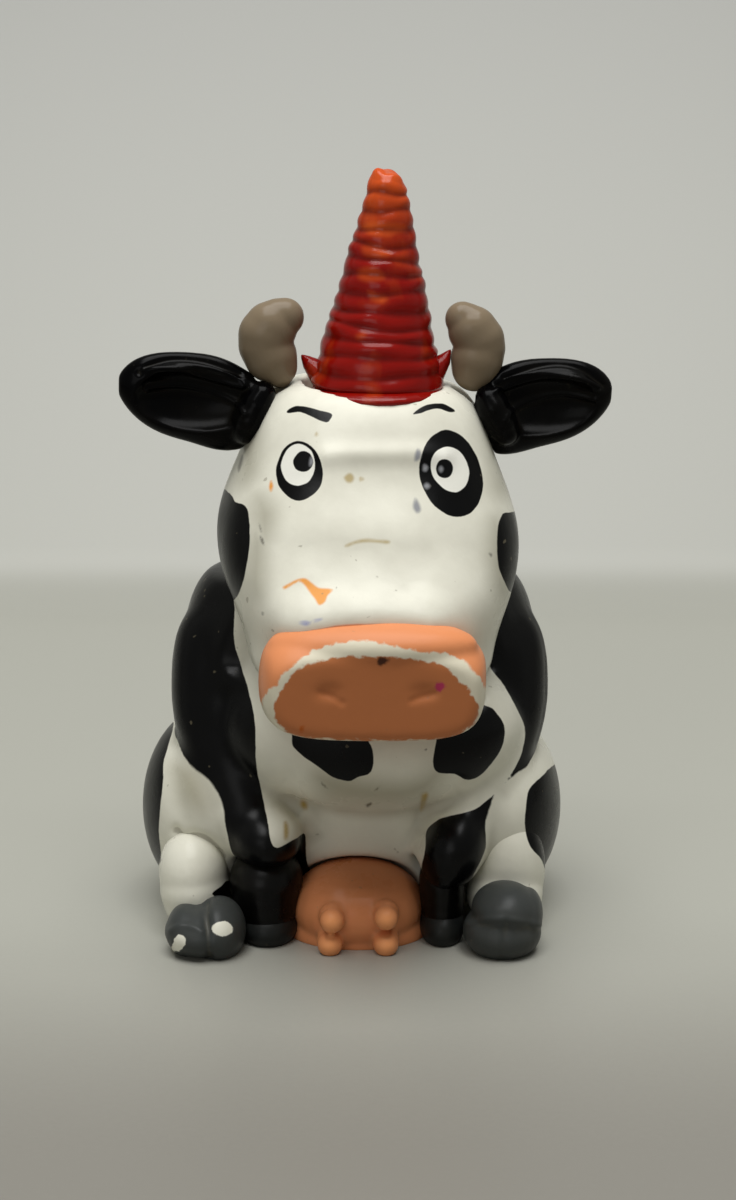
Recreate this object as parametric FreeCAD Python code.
import FreeCAD, Part
import math
import os

# A small seated cow ornament, in millimetres. The cow faces -Y and +Z is up. The origin is
# the centre of the flat seat face, on the table. Right and left are the cow's own, so its
# right side is at -X. Forward distances are measured from the neck axis towards the face.

# Driving dimensions of the body
BODY_WIDTH = 36.2
BODY_HEIGHT = 32.6
BODY_FRONT = 12.0
BODY_BACK = 17.5
CHEST_WIDTH = 28.6
CHEST_DEPTH = 17.4
CHEST_HEIGHT = 15.8
THIGH_SPREAD = 27.2
THIGH_WIDTH = 13.8
THIGH_LENGTH = 23.6
THIGH_HEIGHT = 19.4
SHOULDER_SPREAD = 26.4
SHOULDER_DROP = 2.8
ARM_WIDTH = 9.8
ARM_DEPTH = 11.6

# Driving dimensions of the legs
KNEE_SPREAD = 16.8
KNEE_HEIGHT = 7.6
KNEE_WIDTH = 6.5
KNEE_DEPTH = 7.2
KNEE_FORWARD = 9.8
FRONT_FOOT_WIDTH = 5.2
FRONT_FOOT_DEPTH = 6.6
FRONT_FOOT_FORWARD = 11.4
FRONT_HOOF_HEIGHT = 1.9
SHANK_SPREAD = 30.0
SHANK_WIDTH = 7.5
SHANK_LENGTH = 13.6
SHANK_HEIGHT = 10.6
HIND_HOOF_SPREAD = 27.4
HIND_HOOF_WIDTH = 7.6
HIND_HOOF_LENGTH = 9.0
HIND_HOOF_HEIGHT = 5.7
HIND_TOE_FORWARD = 18.8

# Driving dimensions of the head
HEAD_WIDTH = 28.0
HEAD_LENGTH = 29.0
HEAD_HEIGHT = 28.6
HEAD_BACK = 10.2
CHIN_DROP = 9.3
MUZZLE_WIDTH = 20.2
MUZZLE_HEIGHT = 9.8
MUZZLE_LENGTH = 6.2
EAR_SPAN = 46.0
EAR_HEIGHT = 8.5
EAR_THICKNESS = 4.0
HORN_SPREAD = 14.8
HORN_WIDTH = 4.6
CONE_BASE_WIDTH = 12.3
CONE_TIP_WIDTH = 3.2
CONE_HEIGHT = 20.1
CONE_BEADS = 10

# The cow is modelled by hand, so its left and right are not quite alike
FRONT_SIDESTEP = -0.4
HIND_SIDESTEP = -0.8
CHEST_SIDESTEP = 1.4
HEAD_SIDESTEP = 0.35
HORN_SIDESTEP = 0.45
CONE_SIDESTEP = 0.5
CONE_LEAN_DEGREES = 2.5

# The head stands on the body a little turned and tipped, and turns as far each way
HEAD_TURN_DEGREES = 4.0
HEAD_TIP_DEGREES = 1.5
TURN_LIMIT_DEGREES = 10.0

# Clearances, the pegs that locate the pieces, and the overrun that all cuts share
TURN_GAP = 0.4
RUNNING_GAP = 0.08
PEG_CLEARANCE = 0.05
SEAM_CLEARANCE = 0.05
OVERRUN = 2.0
PEG_RADIUS = 1.0
PEG_LENGTH = 1.6

# Levels that follow from the sizes above
CHIN_HEIGHT = BODY_HEIGHT - CHIN_DROP
CROWN_HEIGHT = CHIN_HEIGHT + HEAD_HEIGHT
SHOULDER_TOP = BODY_HEIGHT - SHOULDER_DROP

SLICE_POINTS = 24
FULL_TURN = 360.0
RIGHT_SIDE = -1
LEFT_SIDE = 1
ORIGIN = FreeCAD.Vector(0, 0, 0)
UPWARD = FreeCAD.Vector(0, 0, 1)


def place(x, forward, height):
    return FreeCAD.Vector(x, -forward, height)


def between(start, end, share):
    return start + (end - start) * share


def closed_curve(points):
    curve = Part.BSplineCurve()
    curve.interpolate(Points=points, PeriodicFlag=True)
    return Part.Wire([curve.toShape()])


def rounded_power(value, squareness):
    return math.copysign(abs(value) ** (2.0 / squareness), value)


def oval_points(squareness):
    """Points round a unit oval: squareness 2 is an ellipse, and more is boxier."""
    points = []
    for step in range(SLICE_POINTS):
        angle = 2.0 * math.pi * (step + 0.5) / SLICE_POINTS
        across = rounded_power(math.cos(angle), squareness)
        along = rounded_power(math.sin(angle), squareness)
        points.append((across, along))
    return points


def level_slice(height, middle, front, back, half_width, squareness):
    """A closed curve in a level plane, between a front and a back distance."""
    centre = (front + back) / 2.0
    reach = (front - back) / 2.0
    points = []
    for across, along in oval_points(squareness):
        points.append(place(middle + across * half_width, centre + along * reach, height))
    return closed_curve(points)


def upright_slice(forward, half_width, low, high, squareness, lean):
    """A closed curve across the cow, whose top leans forward by lean for each unit of height."""
    centre = (low + high) / 2.0
    reach = (high - low) / 2.0
    points = []
    for across, along in oval_points(squareness):
        points.append(place(
            across * half_width, forward + lean * along * reach, centre + along * reach))
    return closed_curve(points)


def sideways_slice(x, forward, half_depth, middle, half_height):
    """A closed oval in a plane that faces sideways."""
    points = []
    for across, along in oval_points(2.0):
        points.append(place(x, forward + across * half_depth, middle + along * half_height))
    return closed_curve(points)


def ellipsoid(centre, width, length, height, pitch_degrees=0.0):
    """An ellipsoid of full sizes, with its front end raised by the pitch."""
    stretch = FreeCAD.Matrix()
    stretch.scale(width / 2.0, length / 2.0, height / 2.0)
    shape = Part.makeSphere(1).transformGeometry(stretch)
    shape.rotate(ORIGIN, FreeCAD.Vector(-1, 0, 0), pitch_degrees)
    shape.translate(centre)
    return shape


def slab(low, high):
    """A box between two corners, each given as side, forward and height."""
    start = FreeCAD.Vector(min(low[0], high[0]), min(-low[1], -high[1]), min(low[2], high[2]))
    return Part.makeBox(
        abs(high[0] - low[0]), abs(high[1] - low[1]), abs(high[2] - low[2]), start)


def peg(base, direction):
    return Part.makeCylinder(PEG_RADIUS, PEG_LENGTH, base, direction)


def socket(base, direction):
    """The bore for a peg, wider and deeper by the peg clearance."""
    return Part.makeCylinder(PEG_RADIUS + PEG_CLEARANCE, PEG_LENGTH + PEG_CLEARANCE, base, direction)


def on_side(shape, side, sidestep):
    """A piece drawn on the cow's left, kept or mirrored, then moved by the sidestep."""
    placed = shape if side == LEFT_SIDE else shape.mirror(ORIGIN, FreeCAD.Vector(1, 0, 0))
    placed.translate(FreeCAD.Vector(sidestep, 0, 0))
    return placed


def spun(profile):
    """A solid of revolution about the neck axis from points of radius and height."""
    corners = [FreeCAD.Vector(radius, 0, height) for radius, height in profile]
    face = Part.Face(Part.makePolygon(corners + corners[:1]))
    return face.revolve(ORIGIN, UPWARD, FULL_TURN)


def largest(shape):
    return max(shape.Solids, key=lambda solid: solid.Volume)


def below(height):
    """Everything under a level, to trim an underside flat."""
    return slab((-BODY_WIDTH, -BODY_WIDTH, -BODY_HEIGHT), (BODY_WIDTH, BODY_WIDTH, height))


# Torso: belly, chest, upper forelegs and thighs are one cast piece.
# Each row is height, half width, front and back, as shares of the body's sizes.
TORSO_SHARES = (
    (0.00, 0.74, 0.62, 0.90),
    (0.09, 0.80, 0.72, 0.97),
    (0.24, 0.82, 0.80, 1.00),
    (0.40, 0.82, 0.86, 1.00),
    (0.55, 0.86, 0.94, 0.99),
    (0.70, 0.93, 1.00, 0.97),
    (0.82, 0.94, 0.94, 0.93),
    (0.92, 0.90, 0.80, 0.86),
    (1.00, 0.80, 0.60, 0.72),
)
TORSO_SQUARENESS = 2.2
CHEST_SINK = 4.8
CHEST_DROP = 13.2
THIGH_FORWARD = -0.6
THIGH_MIDDLE = 9.4
THIGH_PITCH_DEGREES = 18.0
SHOULDER_FORWARD = 2.2

# Each row is height from the knee to the shoulder top, then how far the spread, the forward
# place, the width and the depth have gone from the knee's to the shoulder's, all as shares.
ARM_SHARES = (
    (0.00, 0.00, 0.00, 0.00, 0.00),
    (0.15, 0.30, 0.20, 0.42, 0.30),
    (0.34, 0.68, 0.52, 0.80, 0.72),
    (0.58, 0.98, 0.90, 1.00, 1.00),
    (0.82, 1.00, 1.16, 0.88, 0.80),
    (0.95, 0.90, 1.26, 0.46, 0.30),
    (1.00, 0.80, 1.32, -0.20, -0.30),
)


def arm(side):
    """The upper foreleg, from the knee to the shoulder."""
    slices = []
    for height_share, spread_share, forward_share, width_share, depth_share in ARM_SHARES:
        knee_middle = side * KNEE_SPREAD / 2.0 + FRONT_SIDESTEP
        middle = between(knee_middle, side * SHOULDER_SPREAD / 2.0, spread_share)
        forward = between(KNEE_FORWARD, SHOULDER_FORWARD, forward_share)
        half_width = between(KNEE_WIDTH, ARM_WIDTH, width_share) / 2.0
        half_depth = between(KNEE_DEPTH, ARM_DEPTH, depth_share) / 2.0
        slices.append(level_slice(
            between(KNEE_HEIGHT, SHOULDER_TOP, height_share), middle,
            forward + half_depth, forward - half_depth, half_width, 2.0))
    return Part.makeLoft(slices, True)


def thigh(side):
    """The folded thigh, with its knee end raised."""
    return ellipsoid(place(side * THIGH_SPREAD / 2.0 + HIND_SIDESTEP, THIGH_FORWARD, THIGH_MIDDLE),
                     THIGH_WIDTH, THIGH_LENGTH, THIGH_HEIGHT, THIGH_PITCH_DEGREES)


def torso_blank():
    slices = []
    for height_share, width_share, front_share, back_share in TORSO_SHARES:
        slices.append(level_slice(
            BODY_HEIGHT * height_share, 0, BODY_FRONT * front_share, -BODY_BACK * back_share,
            BODY_WIDTH / 2.0 * width_share, TORSO_SQUARENESS))
    chest_place = place(CHEST_SIDESTEP, BODY_FRONT - CHEST_SINK, BODY_HEIGHT - CHEST_DROP)
    chest = ellipsoid(chest_place, CHEST_WIDTH, CHEST_DEPTH, CHEST_HEIGHT)
    lumps = [chest]
    for side in (RIGHT_SIDE, LEFT_SIDE):
        lumps.append(arm(side))
        lumps.append(thigh(side))
    return Part.makeLoft(slices, True).fuse(lumps)


# Lower forelegs and front hooves
LEG_SQUARENESS = 2.2
FRONT_HOOF_LIP = 0.2
CLEFT_WIDTH = 0.5
CLEFT_DEPTH = 0.5
CLEFT_HEIGHT_SHARE = 0.6


def foreleg_slice(side, height, forward, width, depth, grow):
    half_depth = depth / 2.0 + grow
    return level_slice(height, side * KNEE_SPREAD / 2.0 + FRONT_SIDESTEP, forward + half_depth,
                       forward - half_depth, width / 2.0 + grow, LEG_SQUARENESS)


def foreleg_column(side, grow):
    """The lower foreleg from the knee seam to the hoof seam, grown all round for its seat."""
    middle_forward = (KNEE_FORWARD + FRONT_FOOT_FORWARD) / 2.0
    middle_height = (KNEE_HEIGHT + FRONT_HOOF_HEIGHT) / 2.0
    return Part.makeLoft([
        foreleg_slice(side, KNEE_HEIGHT, KNEE_FORWARD, KNEE_WIDTH, KNEE_DEPTH, grow),
        foreleg_slice(side, middle_height, middle_forward, FRONT_FOOT_WIDTH, FRONT_FOOT_DEPTH, grow),
        foreleg_slice(side, FRONT_HOOF_HEIGHT, FRONT_FOOT_FORWARD, FRONT_FOOT_WIDTH,
                      FRONT_FOOT_DEPTH, grow),
    ], True)


def front_hoof_block(side, grow):
    """The low front hoof, a lip wider than the ankle, grown all round for its seat."""
    width = FRONT_FOOT_WIDTH + 2.0 * FRONT_HOOF_LIP
    depth = FRONT_FOOT_DEPTH + 2.0 * FRONT_HOOF_LIP
    return Part.makeLoft([
        foreleg_slice(side, 0, FRONT_FOOT_FORWARD, width, depth, grow),
        foreleg_slice(side, FRONT_HOOF_HEIGHT / 2.0, FRONT_FOOT_FORWARD, width, depth, grow),
        foreleg_slice(side, FRONT_HOOF_HEIGHT, FRONT_FOOT_FORWARD, FRONT_FOOT_WIDTH,
                      FRONT_FOOT_DEPTH, grow),
    ], True)


def knee_point(side):
    return place(side * KNEE_SPREAD / 2.0 + FRONT_SIDESTEP, KNEE_FORWARD, KNEE_HEIGHT)


def ankle_point(side):
    return place(side * KNEE_SPREAD / 2.0 + FRONT_SIDESTEP, FRONT_FOOT_FORWARD, FRONT_HOOF_HEIGHT)


def lower_foreleg(side, hind_foot):
    leg = foreleg_column(side, 0).fuse(peg(knee_point(side), UPWARD))
    return largest(leg.cut([socket(ankle_point(side), UPWARD), hind_foot]))


def toe_cleft(middle, toe, top):
    """The groove that parts the two toes of a hoof."""
    return slab((middle - CLEFT_WIDTH / 2.0, toe - CLEFT_DEPTH, -OVERRUN),
                (middle + CLEFT_WIDTH / 2.0, toe + OVERRUN, top * CLEFT_HEIGHT_SHARE))


def front_hoof(side, hind_foot):
    """The front hoof, which gives way where the hind hoof presses against it."""
    toe = FRONT_FOOT_FORWARD + FRONT_FOOT_DEPTH / 2.0 + FRONT_HOOF_LIP
    cleft = toe_cleft(ankle_point(side).x, toe, FRONT_HOOF_HEIGHT)
    hoof = front_hoof_block(side, 0).cut([cleft, hind_foot])
    return largest(hoof.fuse(peg(ankle_point(side), UPWARD)))


# Lower hind legs and hind hooves
SHANK_FORWARD = 7.4
SHANK_MIDDLE = 4.9
SHANK_PITCH_DEGREES = -18.0
HIND_SEAM_FORWARD = 12.4
HIND_SEAM_LEAN_DEGREES = 24.0
HIND_HOOF_DOME_SHARE = 1.4
HIND_HOOF_MIDDLE_SHARE = 0.3


def hind_seam_point(side):
    middle = (SHANK_SPREAD + HIND_HOOF_SPREAD) / 4.0
    return place(side * middle + HIND_SIDESTEP, HIND_SEAM_FORWARD, HIND_HOOF_HEIGHT / 2.0)


def hind_seam_direction():
    """Out of the hoof and into the shank, square to their leaning seam."""
    lean = math.radians(HIND_SEAM_LEAN_DEGREES)
    return place(0, -math.cos(lean), -math.sin(lean))


def beyond_hind_seam(side):
    """A block that holds everything in front of the leaning seam."""
    block = slab((-BODY_WIDTH, 0, -BODY_WIDTH), (BODY_WIDTH, BODY_WIDTH, BODY_WIDTH))
    block.rotate(ORIGIN, FreeCAD.Vector(-1, 0, 0), HIND_SEAM_LEAN_DEGREES)
    block.translate(hind_seam_point(side))
    return block


def hind_hoof_dome(side, grow):
    forward = HIND_TOE_FORWARD - HIND_HOOF_LENGTH / 2.0
    return ellipsoid(
        place(side * HIND_HOOF_SPREAD / 2.0 + HIND_SIDESTEP, forward,
              HIND_HOOF_HEIGHT * HIND_HOOF_MIDDLE_SHARE),
        HIND_HOOF_WIDTH + 2.0 * grow, HIND_HOOF_LENGTH + 2.0 * grow,
        HIND_HOOF_HEIGHT * HIND_HOOF_DOME_SHARE + 2.0 * grow)


def lower_hind_leg(side, torso_piece):
    leg = ellipsoid(
        place(side * SHANK_SPREAD / 2.0 + HIND_SIDESTEP, SHANK_FORWARD, SHANK_MIDDLE),
        SHANK_WIDTH, SHANK_LENGTH, SHANK_HEIGHT, SHANK_PITCH_DEGREES)
    leg = leg.cut([beyond_hind_seam(side), below(0), torso_piece, foreleg_column(side, SEAM_CLEARANCE)])
    return largest(leg.cut(socket(hind_seam_point(side), hind_seam_direction())))


def hind_hoof(side):
    """The broad hind hoof with a cleft down its toe."""
    hoof = hind_hoof_dome(side, 0).common(beyond_hind_seam(side))
    middle = side * HIND_HOOF_SPREAD / 2.0 + HIND_SIDESTEP
    hoof = hoof.cut([below(0), toe_cleft(middle, HIND_TOE_FORWARD, HIND_HOOF_HEIGHT)])
    return hoof.fuse(peg(hind_seam_point(side), hind_seam_direction()))


# Udder
UDDER_WIDTH = 12.4
UDDER_DEPTH = 11.0
UDDER_HEIGHT = 7.4
UDDER_SINK = 3.0
UDDER_FORWARD = BODY_FRONT - UDDER_SINK
UDDER_MIDDLE = 3.4
UDDER_SIDESTEP = -0.2
UDDER_FLOOR_GAP = 0.4
TEAT_SPREAD = 5.3
TEAT_RADIUS = 0.9
TEAT_LENGTH = 2.2
TEAT_LOW = 1.35
TEAT_HIGH = 3.6


def udder_bag():
    bag = ellipsoid(place(UDDER_SIDESTEP, UDDER_FORWARD, UDDER_MIDDLE),
                    UDDER_WIDTH, UDDER_DEPTH, UDDER_HEIGHT)
    return bag.cut(below(UDDER_FLOOR_GAP))


def udder_reach(x, height):
    """How far the bag's front stands forward of its middle at a place on it."""
    across = x / (UDDER_WIDTH / 2.0)
    up = (height - UDDER_MIDDLE) / (UDDER_HEIGHT / 2.0)
    return UDDER_DEPTH / 2.0 * math.sqrt(max(0.0, 1.0 - across * across - up * up))


def udder(legs):
    """The bag with two rows of two teats that point forward, between the forelegs."""
    bag = udder_bag()
    for side in (RIGHT_SIDE, LEFT_SIDE):
        for height in (TEAT_LOW, TEAT_HIGH):
            x = side * TEAT_SPREAD / 2.0
            root = UDDER_FORWARD + udder_reach(x, height) - TEAT_RADIUS
            base = place(x + UDDER_SIDESTEP, root, height)
            tip = place(x + UDDER_SIDESTEP, root + TEAT_LENGTH, height)
            bag = bag.fuse([Part.makeCylinder(TEAT_RADIUS, TEAT_LENGTH, base, place(0, 1, 0)),
                            Part.makeSphere(TEAT_RADIUS, tip)])
    return largest(bag.cut(legs))


# Tail, which lies round the rump towards the cow's left
TAIL_RADIUS = 1.1
TAIL_ROOT_HEIGHT = 6.8
# Each row is how far out, how far back and how high, as shares of half the body's width,
# its back and the tail root's height.
TAIL_PATH_SHARES = ((0.02, 0.92, 1.00), (0.12, 1.05, 0.80), (0.32, 1.08, 0.24), (0.62, 0.93, 0.0))
TUFT_WIDTH = 3.4
TUFT_LENGTH = 6.6


def tail_curve():
    points = []
    for side_share, back_share, height_share in TAIL_PATH_SHARES:
        points.append(place(BODY_WIDTH / 2.0 * side_share, -BODY_BACK * back_share,
                            between(TUFT_WIDTH / 2.0, TAIL_ROOT_HEIGHT, height_share)))
    curve = Part.BSplineCurve()
    curve.interpolate(Points=points)
    return curve


def tail(torso_piece):
    curve = tail_curve()
    start = curve.FirstParameter
    ring = Part.Wire([Part.makeCircle(TAIL_RADIUS, curve.value(start), curve.tangent(start)[0])])
    cord = Part.Wire([curve.toShape()]).makePipeShell([ring], True, False)
    return largest(cord.cut(torso_piece))


def tail_tuft(torso_piece, tail_piece):
    """The hair at the tail's end, which points the way the tail ends."""
    curve = tail_curve()
    end = curve.value(curve.LastParameter)
    heading = curve.tangent(curve.LastParameter)[0]
    heading = FreeCAD.Vector(heading.x, heading.y, 0).normalize()
    tuft = ellipsoid(ORIGIN, TUFT_WIDTH, TUFT_LENGTH, TUFT_WIDTH)
    turn = math.degrees(math.atan2(-heading.x, heading.y))
    tuft.rotate(ORIGIN, UPWARD, turn)
    tuft.translate(end + heading * ((TUFT_LENGTH - TAIL_RADIUS) / 2.0))
    return largest(tuft.cut([torso_piece, tail_piece]))


# Neck plug: the pin that holds the head to the body and lets it turn
PLUG_RADIUS = 3.2
PLUG_CAP_RADIUS = 4.4
PLUG_CAP_HEIGHT = 2.6
PLUG_SHAFT_HEIGHT = 4.6
PLUG_DISC_RADIUS = 5.2
PLUG_DISC_HEIGHT = 1.5
PLUG_ROOT_LENGTH = 5.0
DISC_BOTTOM = BODY_HEIGHT - PLUG_DISC_HEIGHT
NECK_FACE = BODY_HEIGHT + TURN_GAP
CAP_BOTTOM = BODY_HEIGHT + PLUG_SHAFT_HEIGHT


def neck_plug():
    """A root and a disc let into the torso, and a shaft with a cap that snaps into the head."""
    return spun((
        (0, DISC_BOTTOM - PLUG_ROOT_LENGTH),
        (PLUG_RADIUS, DISC_BOTTOM - PLUG_ROOT_LENGTH),
        (PLUG_RADIUS, DISC_BOTTOM),
        (PLUG_DISC_RADIUS, DISC_BOTTOM),
        (PLUG_DISC_RADIUS, NECK_FACE - RUNNING_GAP),
        (PLUG_RADIUS, NECK_FACE - RUNNING_GAP),
        (PLUG_RADIUS, CAP_BOTTOM),
        (PLUG_CAP_RADIUS, CAP_BOTTOM),
        (PLUG_RADIUS, CAP_BOTTOM + PLUG_CAP_HEIGHT),
        (0, CAP_BOTTOM + PLUG_CAP_HEIGHT),
    ))


def plug_pocket():
    """The stepped hole in the top of the torso for the plug's disc and root."""
    root_bottom = DISC_BOTTOM - PLUG_ROOT_LENGTH - PEG_CLEARANCE
    return spun((
        (0, root_bottom),
        (PLUG_RADIUS + PEG_CLEARANCE, root_bottom),
        (PLUG_RADIUS + PEG_CLEARANCE, DISC_BOTTOM),
        (PLUG_DISC_RADIUS + PEG_CLEARANCE, DISC_BOTTOM),
        (PLUG_DISC_RADIUS + PEG_CLEARANCE, BODY_HEIGHT + OVERRUN),
        (0, BODY_HEIGHT + OVERRUN),
    ))


def plug_bore():
    """The bore in the head, with a wider chamber that the plug's cap turns in."""
    chamber_bottom = CAP_BOTTOM - RUNNING_GAP
    chamber_top = CAP_BOTTOM + PLUG_CAP_HEIGHT + TURN_GAP
    return spun((
        (0, BODY_HEIGHT - OVERRUN),
        (PLUG_RADIUS + RUNNING_GAP, BODY_HEIGHT - OVERRUN),
        (PLUG_RADIUS + RUNNING_GAP, chamber_bottom),
        (PLUG_CAP_RADIUS + TURN_GAP, chamber_bottom),
        (PLUG_CAP_RADIUS + TURN_GAP, chamber_top),
        (0, chamber_top),
    ))


# Neck faces: the head turns over a flat ring, and its jaw passes the chest along a cone.
# Both are round the neck axis, so the gap stays the same all the way.
NECK_RADIUS = 8.6
JAW_RADIUS = 15.4
JAW_DROP = 0.6
JAW_HEIGHT = CHIN_HEIGHT - JAW_DROP
JAW_START = 10.0


def neck_room(gap):
    """The space under the head that belongs to the torso, its cone pushed in by a gap."""
    return spun((
        (0, 0),
        (JAW_RADIUS - gap, 0),
        (JAW_RADIUS - gap, JAW_HEIGHT - gap),
        (NECK_RADIUS - gap, NECK_FACE - gap),
        (0, NECK_FACE - gap),
    ))


def behind_jaw():
    """The space under the neck face and behind the jaw, which the shoulders fill."""
    block = slab((-HEAD_WIDTH, -HEAD_WIDTH, 0), (HEAD_WIDTH, JAW_START, NECK_FACE))
    block.rotate(ORIGIN, UPWARD, HEAD_TURN_DEGREES)
    return block


def jaw_room():
    """The space that the jaw sweeps over the chest as the head turns as far as it goes."""
    limit = math.sin(math.radians(TURN_LIMIT_DEGREES))
    drop = TURN_GAP + HEAD_WIDTH / 2.0 * math.sin(math.radians(HEAD_TIP_DEGREES))
    side_swing = (HEAD_LENGTH - HEAD_BACK) * limit + drop
    back_swing = HEAD_WIDTH / 2.0 * limit + drop
    room = head_loft(side_swing, back_swing, drop)
    behind = slab((-BODY_WIDTH, -BODY_WIDTH, -BODY_HEIGHT),
                  (BODY_WIDTH, JAW_START - back_swing, CROWN_HEIGHT + OVERRUN))
    return room.cut([behind, neck_room(TURN_GAP)])


def torso():
    cuts = [below(0), jaw_room(), plug_pocket(), udder_bag()]
    for side in (RIGHT_SIDE, LEFT_SIDE):
        cuts.append(foreleg_column(side, SEAM_CLEARANCE))
        cuts.append(front_hoof_block(side, SEAM_CLEARANCE))
        cuts.append(socket(knee_point(side), UPWARD))
    return largest(torso_blank().cut(cuts))


# Head. Each row is a height from the chin, half the width, the front and the back, as
# shares of the head's height, half its width and its length from the back.
HEAD_SHARES = (
    (0.000, 0.60, 0.965, 0.82),
    (0.095, 0.72, 0.990, 0.60),
    (0.200, 0.82, 1.000, 0.36),
    (0.305, 0.91, 0.998, 0.13),
    (0.410, 0.985, 0.975, 0.02),
    (0.530, 1.00, 0.920, 0.00),
    (0.700, 0.895, 0.835, 0.01),
    (0.830, 0.79, 0.768, 0.04),
    (0.925, 0.70, 0.705, 0.08),
    (0.975, 0.57, 0.640, 0.14),
    (1.000, 0.36, 0.560, 0.22),
)
HEAD_SQUARENESS_LOW = 3.2
HEAD_SQUARENESS_HIGH = 2.3


def head_loft(side_swing, back_swing, drop):
    """The head's outer form, or the room that it sweeps: wider, further back and lower."""
    slices = []
    for height_share, width_share, front_share, back_share in HEAD_SHARES:
        squareness = between(HEAD_SQUARENESS_LOW, HEAD_SQUARENESS_HIGH, height_share)
        slices.append(level_slice(
            CHIN_HEIGHT + HEAD_HEIGHT * height_share - drop, HEAD_SIDESTEP,
            HEAD_LENGTH * front_share - HEAD_BACK + drop,
            HEAD_LENGTH * back_share - HEAD_BACK - back_swing,
            HEAD_WIDTH / 2.0 * width_share + side_swing, squareness))
    return Part.makeLoft(slices, True)


# Muzzle, a separate nose piece on a leaning seam
MUZZLE_SINK = 1.4
MUZZLE_SEAM_FORWARD = HEAD_LENGTH - HEAD_BACK - MUZZLE_SINK
MUZZLE_SEAM_LEAN_DEGREES = 9.0
MUZZLE_RISE = 4.0
MUZZLE_MIDDLE = CHIN_HEIGHT + MUZZLE_RISE
MUZZLE_SQUARENESS = 3.6
NOSTRIL_SPREAD = 8.4
NOSTRIL_WIDTH = 2.6
NOSTRIL_HEIGHT = 1.6
NOSTRIL_DEPTH = 0.3
# Each row is the way forward from the seam, half the width, the bottom and the top, as
# shares of the muzzle's length, half its width and its height.
MUZZLE_SHARES = (
    (0.00, 0.96, 0.03, 0.98),
    (0.28, 1.00, 0.00, 1.00),
    (0.60, 0.98, 0.00, 0.95),
    (0.86, 0.93, 0.02, 0.87),
    (0.97, 0.88, 0.06, 0.81),
    (1.00, 0.83, 0.10, 0.77),
)


def muzzle_direction():
    """Out of the muzzle and into the head, square to their leaning seam."""
    lean = math.radians(MUZZLE_SEAM_LEAN_DEGREES)
    return place(0, -math.cos(lean), math.sin(lean))


def muzzle_side():
    """A block that holds everything on the muzzle's side of its leaning seam."""
    block = slab((-HEAD_WIDTH, 0, -HEAD_WIDTH), (HEAD_WIDTH, HEAD_LENGTH, HEAD_WIDTH / 2.0))
    block.rotate(ORIGIN, FreeCAD.Vector(1, 0, 0), MUZZLE_SEAM_LEAN_DEGREES)
    block.translate(place(0, MUZZLE_SEAM_FORWARD, MUZZLE_MIDDLE))
    return block


def muzzle_pegs(maker):
    """The two locating pegs behind the muzzle, or their sockets in the head."""
    return [maker(place(side * MUZZLE_WIDTH / 4.0, MUZZLE_SEAM_FORWARD, MUZZLE_MIDDLE),
                  muzzle_direction()) for side in (RIGHT_SIDE, LEFT_SIDE)]


def muzzle():
    lean = math.tan(math.radians(MUZZLE_SEAM_LEAN_DEGREES))
    bottom = MUZZLE_MIDDLE - MUZZLE_HEIGHT / 2.0
    slices = []
    for way_share, width_share, low_share, high_share in MUZZLE_SHARES:
        slices.append(upright_slice(
            MUZZLE_SEAM_FORWARD + MUZZLE_LENGTH * way_share, MUZZLE_WIDTH / 2.0 * width_share,
            bottom + MUZZLE_HEIGHT * low_share, bottom + MUZZLE_HEIGHT * high_share,
            MUZZLE_SQUARENESS, lean * (1.0 - way_share)))
    dents = []
    for side in (RIGHT_SIDE, LEFT_SIDE):
        centre = place(side * NOSTRIL_SPREAD / 2.0, MUZZLE_SEAM_FORWARD + MUZZLE_LENGTH, MUZZLE_MIDDLE)
        dents.append(ellipsoid(centre, NOSTRIL_WIDTH, 2.0 * NOSTRIL_DEPTH, NOSTRIL_HEIGHT))
    shape = Part.makeLoft(slices, True).cut(dents).common(muzzle_side())
    return largest(shape.fuse(muzzle_pegs(peg)))


# Ears. Each row is the way out to the tip, half the height, half the thickness and the
# rise, as shares of half the span, the height and the thickness.
EAR_SHARES = (
    (0.30, 0.50, 0.70, -0.16),
    (0.42, 0.66, 0.85, -0.14),
    (0.54, 0.97, 0.96, -0.10),
    (0.70, 1.00, 1.00, -0.01),
    (0.85, 0.86, 0.90, 0.05),
    (0.955, 0.54, 0.62, 0.10),
    (1.00, 0.22, 0.28, 0.12),
)
EAR_DROP = 2.0
EAR_MIDDLE = CROWN_HEIGHT - EAR_DROP
EAR_FORWARD = 3.0
EAR_DISH_PLACE_SHARE = 0.70
EAR_DISH_LENGTH_SHARE = 0.50
EAR_DISH_HEIGHT_SHARE = 0.72
EAR_PEG_SHARE = 0.40
EAR_PEG_DROP_SHARE = 0.125


def ear_peg(maker):
    """The peg at the ear's root, or its socket in the head."""
    base = place(EAR_SPAN / 2.0 * EAR_PEG_SHARE, EAR_FORWARD, EAR_MIDDLE - EAR_HEIGHT * EAR_PEG_DROP_SHARE)
    return maker(base, FreeCAD.Vector(-1, 0, 0))


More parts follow.
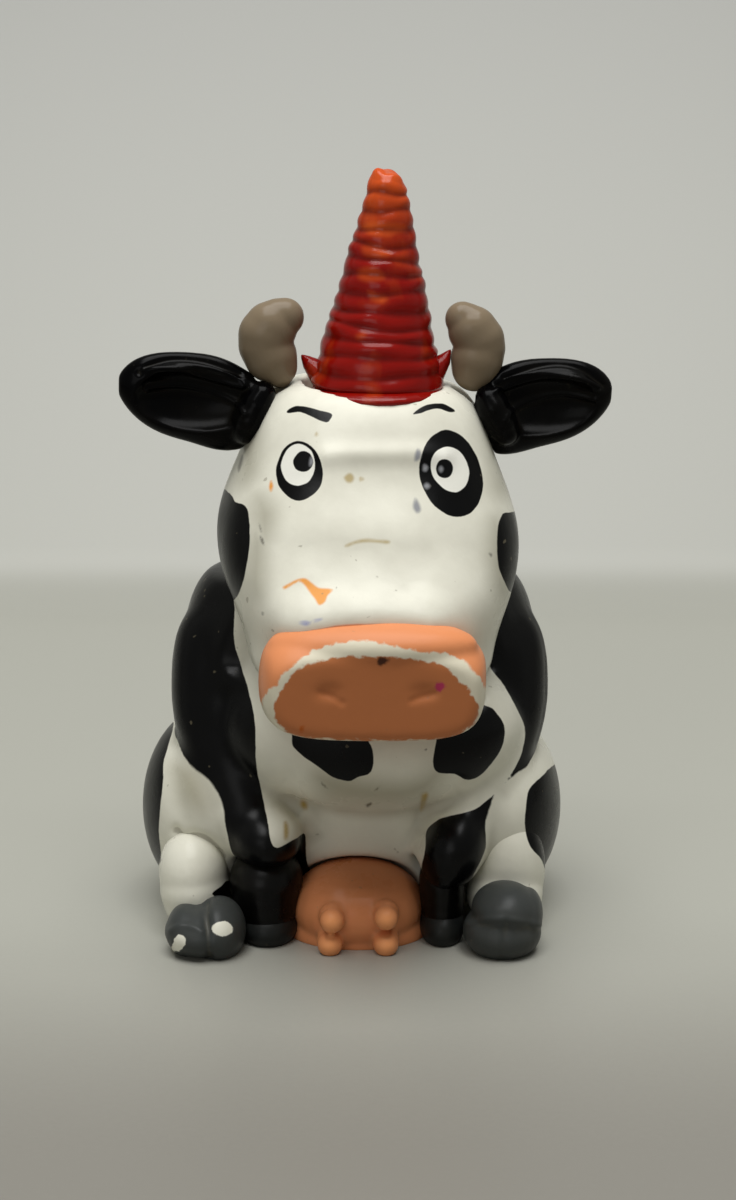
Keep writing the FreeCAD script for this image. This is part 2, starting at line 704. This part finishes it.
def ear(side, crown, horn_piece):
    """An ear that stands out sideways, dished in front and bedded on the head."""
    half_span = EAR_SPAN / 2.0
    slices = []
    for way_share, tall_share, thick_share, rise_share in EAR_SHARES:
        slices.append(sideways_slice(
            half_span * way_share, EAR_FORWARD, EAR_THICKNESS / 2.0 * thick_share,
            EAR_MIDDLE + EAR_HEIGHT * rise_share, EAR_HEIGHT / 2.0 * tall_share))
    dish = ellipsoid(
        place(half_span * EAR_DISH_PLACE_SHARE, EAR_FORWARD + EAR_THICKNESS / 2.0, EAR_MIDDLE),
        half_span * EAR_DISH_LENGTH_SHARE, EAR_THICKNESS, EAR_HEIGHT * EAR_DISH_HEIGHT_SHARE)
    blade = on_side(Part.makeLoft(slices, True).cut(dish), side, 0)
    blade = largest(blade.cut([crown, horn_piece]))
    return largest(blade.fuse(on_side(ear_peg(peg), side, 0)))


# Horns
HORN_FORWARD = 2.6
HORN_CREASE_RISE = 3.3
HORN_CREASE_HEIGHT = CROWN_HEIGHT + HORN_CREASE_RISE
HORN_CREASE_GAP = 0.05
HORN_ROOT_DROP = 5.4
HORN_PEG_DROP = 4.0
# Each row is the drop below the crease, the place out from the crease and the thickness,
# as shares of the root's drop, half the horn's width and its width.
HORN_ROOT_SHARES = ((1.00, 0.46, 0.92), (0.40, 0.86, 1.03))
# How far the horn has turned round its crease, and its thickness there as a share.
HORN_TURNS_DEGREES = (0.0, 38.0, 70.0, 98.0)
HORN_THICK_SHARES = (1.03, 1.00, 0.90, 0.66)


def horn_ring(centre, normal, thickness):
    return Part.Wire([Part.makeCircle(thickness / 2.0, centre, normal)])


def horn_peg(maker):
    """The peg under the horn's root, or its socket in the head."""
    base = place((HORN_SPREAD + HORN_WIDTH / 2.0) / 2.0, HORN_FORWARD, HORN_CREASE_HEIGHT - HORN_PEG_DROP)
    return maker(base, UPWARD * -1.0)


def horn(side, crown):
    """A short thick horn that curls inward round a crease, bedded on the head."""
    crease = HORN_SPREAD / 2.0
    rings = []
    for drop_share, out_share, thick_share in HORN_ROOT_SHARES:
        centre = place(crease + HORN_WIDTH / 2.0 * out_share, HORN_FORWARD,
                       HORN_CREASE_HEIGHT - HORN_ROOT_DROP * drop_share)
        rings.append(horn_ring(centre, UPWARD, HORN_WIDTH * thick_share))
    for degrees, share in zip(HORN_TURNS_DEGREES, HORN_THICK_SHARES):
        turn = math.radians(degrees)
        reach = HORN_WIDTH / 2.0 * share + HORN_CREASE_GAP
        centre = place(crease + reach * math.cos(turn), HORN_FORWARD,
                       HORN_CREASE_HEIGHT + reach * math.sin(turn))
        normal = FreeCAD.Vector(-math.sin(turn), 0, math.cos(turn))
        rings.append(horn_ring(centre, normal, HORN_WIDTH * share))
    bulb = Part.makeSphere(HORN_WIDTH / 2.0 * HORN_THICK_SHARES[-1], centre)
    shaft = Part.makeLoft(rings, True).fuse(bulb)
    shaft = largest(on_side(shaft, side, HORN_SIDESTEP).cut(crown))
    return largest(shaft.fuse(on_side(horn_peg(peg), side, HORN_SIDESTEP)))


# Cone of stacked beads, on a thin collar that is let into the crown
CONE_FORWARD = 2.4
CONE_SINK = 1.6
CONE_FOOT_HEIGHT = CROWN_HEIGHT - CONE_SINK
CONE_BEAD_SWELL = 0.3
CONE_TIP_ROUND = 0.8
CONE_SPIGOT_RADIUS = 1.6
CONE_SPIGOT_LENGTH = 3.0
COLLAR_LIP = 0.35
COLLAR_THICKNESS = 0.7
FIN_REACH = 1.5
FIN_RISE = 2.6
FIN_DEPTH = 2.4
FIN_FOOT_SHARE = 0.6


def cone_radius(height):
    return between(CONE_BASE_WIDTH, CONE_TIP_WIDTH, height / CONE_HEIGHT) / 2.0


def on_crown(shape):
    """A piece of the cone, drawn upright on the origin, leaned and put on the crown."""
    shape.rotate(ORIGIN, FreeCAD.Vector(0, 1, 0), CONE_LEAN_DEGREES)
    shape.translate(place(CONE_SIDESTEP, CONE_FORWARD, CONE_FOOT_HEIGHT))
    return shape


def cone_profile():
    """Half the cone's outline: beads one above another, each an arc, and a rounded tip."""
    pitch = CONE_HEIGHT / CONE_BEADS
    edges = [Part.makeLine(ORIGIN, FreeCAD.Vector(cone_radius(0), 0, 0))]
    for bead in range(CONE_BEADS):
        low = bead * pitch
        middle = low + pitch / 2.0
        high = low + pitch
        edges.append(Part.Arc(
            FreeCAD.Vector(cone_radius(low), 0, low),
            FreeCAD.Vector(cone_radius(middle) + CONE_BEAD_SWELL, 0, middle),
            FreeCAD.Vector(cone_radius(high), 0, high)).toShape())
    tip_radius = cone_radius(CONE_HEIGHT)
    tip_lean = math.sqrt(0.5)
    top = FreeCAD.Vector(0, 0, CONE_HEIGHT + CONE_TIP_ROUND)
    shoulder = FreeCAD.Vector(tip_radius - CONE_TIP_ROUND, 0, CONE_HEIGHT + CONE_TIP_ROUND)
    bend = FreeCAD.Vector(tip_radius - CONE_TIP_ROUND * (1.0 - tip_lean), 0,
                          CONE_HEIGHT + CONE_TIP_ROUND * tip_lean)
    edges.append(Part.Arc(FreeCAD.Vector(tip_radius, 0, CONE_HEIGHT), bend, shoulder).toShape())
    edges.append(Part.makeLine(shoulder, top))
    edges.append(Part.makeLine(top, ORIGIN))
    return edges


def cone():
    beads = Part.Face(Part.Wire(cone_profile())).revolve(ORIGIN, UPWARD, FULL_TURN)
    spigot = Part.makeCylinder(CONE_SPIGOT_RADIUS, CONE_SPIGOT_LENGTH, ORIGIN, UPWARD * -1.0)
    return on_crown(beads.fuse(spigot))


def cone_seat():
    """The shallow seat in the crown for the collar, and the bore for the cone's spigot."""
    radius = cone_radius(0) + COLLAR_LIP
    clear = Part.makeCylinder(radius, COLLAR_THICKNESS + CONE_SINK + OVERRUN,
                              FreeCAD.Vector(0, 0, -COLLAR_THICKNESS))
    bore = Part.makeCylinder(CONE_SPIGOT_RADIUS + PEG_CLEARANCE, CONE_SPIGOT_LENGTH + PEG_CLEARANCE,
                             ORIGIN, UPWARD * -1.0)
    return on_crown(clear.fuse(bore))


def cone_fin(side):
    """A small pointed fin that stands up beside the cone's foot."""
    inner = side * cone_radius(0) * FIN_FOOT_SHARE
    outer = side * (cone_radius(0) + COLLAR_LIP)
    tip = FreeCAD.Vector(side * (cone_radius(0) + FIN_REACH), FIN_DEPTH / 2.0, FIN_RISE)
    corners = [FreeCAD.Vector(inner, FIN_DEPTH / 2.0, -COLLAR_THICKNESS),
               FreeCAD.Vector(outer, FIN_DEPTH / 2.0, -COLLAR_THICKNESS), tip,
               FreeCAD.Vector(inner, FIN_DEPTH / 2.0, FIN_RISE / 2.0)]
    face = Part.Face(Part.makePolygon(corners + corners[:1]))
    return face.extrude(FreeCAD.Vector(0, -FIN_DEPTH, 0))


def cone_collar(crown, horns):
    """The collar under the cone, with a fin at each side that stops at the horn."""
    disc = Part.makeCylinder(cone_radius(0) + COLLAR_LIP, COLLAR_THICKNESS,
                             FreeCAD.Vector(0, 0, -COLLAR_THICKNESS))
    bore = Part.makeCylinder(CONE_SPIGOT_RADIUS + PEG_CLEARANCE, CONE_SPIGOT_LENGTH,
                             ORIGIN, UPWARD * -1.0)
    collar = disc.fuse([cone_fin(RIGHT_SIDE), cone_fin(LEFT_SIDE)]).cut(bore)
    return largest(on_crown(collar).cut([crown, cone()] + horns))


def in_pose(shape):
    """A piece of the head, tipped sideways and turned about the neck axis."""
    pivot = FreeCAD.Vector(0, 0, BODY_HEIGHT)
    shape.rotate(pivot, FreeCAD.Vector(0, 1, 0), HEAD_TIP_DEGREES)
    shape.rotate(pivot, UPWARD, HEAD_TURN_DEGREES)
    return shape


def head(crown):
    """The head in its pose, with the muzzle's seam and the sockets, cut free of the torso."""
    cuts = [muzzle_side()] + muzzle_pegs(socket)
    for side in (RIGHT_SIDE, LEFT_SIDE):
        cuts.append(on_side(ear_peg(socket), side, 0))
        cuts.append(on_side(horn_peg(socket), side, HORN_SIDESTEP))
    shape = in_pose(crown.cut(cuts))
    return largest(shape.cut([neck_room(0), behind_jaw(), plug_bore()]))


def save(name, shape):
    shape.exportStep("parts/" + name + ".step")
    print(name, "solids", len(shape.Solids), "valid", shape.isValid(), "mm3", round(shape.Volume, 2))


def main():
    os.makedirs("parts", exist_ok=True)
    body = torso()
    save("torso", body)
    save("neck_plug", neck_plug())
    legs = []
    horns = []
    crown = head_loft(0, 0, 0).cut(cone_seat())
    for side, name in ((RIGHT_SIDE, "right"), (LEFT_SIDE, "left")):
        room = hind_hoof_dome(side, SEAM_CLEARANCE)
        foreleg = lower_foreleg(side, room)
        hoof = front_hoof(side, room)
        legs.extend([foreleg, hoof])
        save(name + "_lower_foreleg", foreleg)
        save(name + "_front_hoof", hoof)
        save(name + "_lower_hind_leg", lower_hind_leg(side, body))
        save(name + "_hind_hoof", hind_hoof(side))
        horn_piece = horn(side, crown)
        horns.append(horn_piece.copy())
        save(name + "_ear", in_pose(ear(side, crown, horn_piece)))
        save(name + "_horn", in_pose(horn_piece))
    save("udder", udder(legs))
    tail_piece = tail(body)
    save("tail", tail_piece)
    save("tail_tuft", tail_tuft(body, tail_piece))
    save("head", head(crown))
    save("muzzle", in_pose(muzzle()))
    save("cone", in_pose(cone()))
    save("cone_collar", in_pose(cone_collar(crown, horns)))


main()
